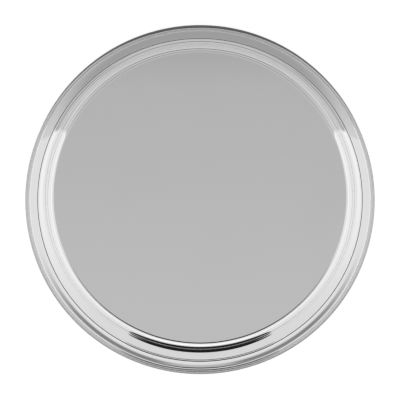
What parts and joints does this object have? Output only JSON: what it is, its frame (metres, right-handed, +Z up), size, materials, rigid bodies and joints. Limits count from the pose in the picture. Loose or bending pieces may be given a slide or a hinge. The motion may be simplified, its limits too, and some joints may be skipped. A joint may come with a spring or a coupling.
{
  "type": "offering plate",
  "caption": "Round mirror-polished steel offering plate: flat well with a sloped wall, narrow flange, raised rim and a felt pad underneath.",
  "frame": {"origin": "on the plate's axis, at the underside of the felt pad that it rests on", "axes": "+Z up along the plate's axis, out of the well; +X and +Y across the plate, which is the same all round"},
  "size_m": [0.305, 0.305, 0.033],
  "materials": {
    "polished_steel": "mirror polished stainless steel",
    "drawn_wire": "plain drawn steel wire",
    "felt": "pressed wool felt"
  },
  "bodies": {
    "root": {"well_pan": "polished_steel", "rim_ring": "polished_steel", "hem_wire": "drawn_wire", "base_pad": "felt"}
  },
  "joints": []
}
